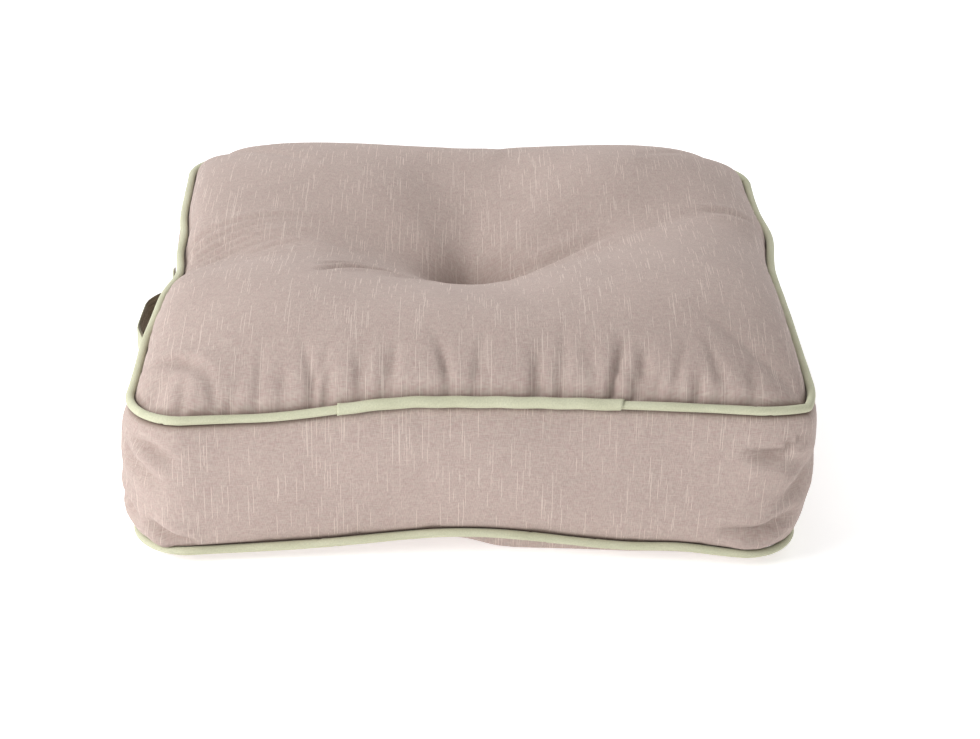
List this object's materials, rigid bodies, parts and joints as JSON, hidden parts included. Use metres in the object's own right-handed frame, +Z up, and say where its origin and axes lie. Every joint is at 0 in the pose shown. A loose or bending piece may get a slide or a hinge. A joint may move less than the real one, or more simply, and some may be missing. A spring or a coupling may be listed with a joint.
{
  "type": "floor cushion",
  "caption": "Square boxed floor cushion with piped edges, a deep centre tuft, a webbing handle on one side and a zip across the back of its band.",
  "frame": {"origin": "middle of the cushion's outer box, on the floor", "axes": "+Z up; the front faces -Y, the handle is on the -X side and the zip is on the +Y side"},
  "size_m": [0.5214, 0.5145, 0.1715],
  "materials": {
    "linen": "matte",
    "sage_cotton": "matte",
    "brown_webbing": "matte",
    "cotton_cord": "matte",
    "case_cotton": "matte",
    "fibre": "matte",
    "zip_tape": "matte",
    "zip_nylon": "satin",
    "zip_metal": "satin",
    "button_shell": "satin",
    "twine": "matte"
  },
  "bodies": {
    "cover": {"top_panel": "linen", "bottom_panel": "linen", "boxing_strip": "linen", "zip_band_upper": "linen", "zip_band_lower": "linen", "top_piping_cover": "sage_cotton", "top_piping_cord": "cotton_cord", "bottom_piping_cover": "sage_cotton", "bottom_piping_cord": "cotton_cord", "top_piping_join": "sage_cotton", "inner_case_top": "case_cotton", "inner_case_bottom": "case_cotton", "fibre_filling": "fibre", "top_button_back": "button_shell", "top_button_cap": "linen", "bottom_button_back": "button_shell", "bottom_button_cap": "linen", "tuft_twine": "twine", "handle_end_front": "sage_cotton", "handle_end_rear": "sage_cotton", "handle_leg_front": "sage_cotton", "handle_leg_rear": "sage_cotton", "zip_tape_upper": "zip_tape", "zip_tape_lower": "zip_tape", "zip_teeth_upper": "zip_nylon", "zip_teeth_lower": "zip_nylon", "zip_closed_stop": "zip_metal", "zip_open_stop": "zip_metal"},
    "handle_grip": {"handle_webbing": "brown_webbing", "handle_facing": "sage_cotton"},
    "zip_slider_body": {"zip_slider": "zip_metal"},
    "zip_puller_body": {"zip_puller": "zip_metal"}
  },
  "joints": [
    {"name": "handle_swing", "type": "hinge", "parent": "cover", "child": "handle_grip", "pos_m": [-0.24015, -0.03, 0.085], "axis": [0, 1, 0], "range_deg": [-40, 45], "deforming": ["handle_leg_front", "handle_leg_rear"]},
    {"name": "zip_slide", "type": "slide", "parent": "cover", "child": "zip_slider_body", "axis": [1, 0, 0], "range_m": [-0.357, 0]},
    {"name": "zip_pull_flip", "type": "hinge", "parent": "zip_slider_body", "child": "zip_puller_body", "pos_m": [0.18375, 0.2575, 0.068], "axis": [0, 0, -1], "range_deg": [0, 180]}
  ]
}
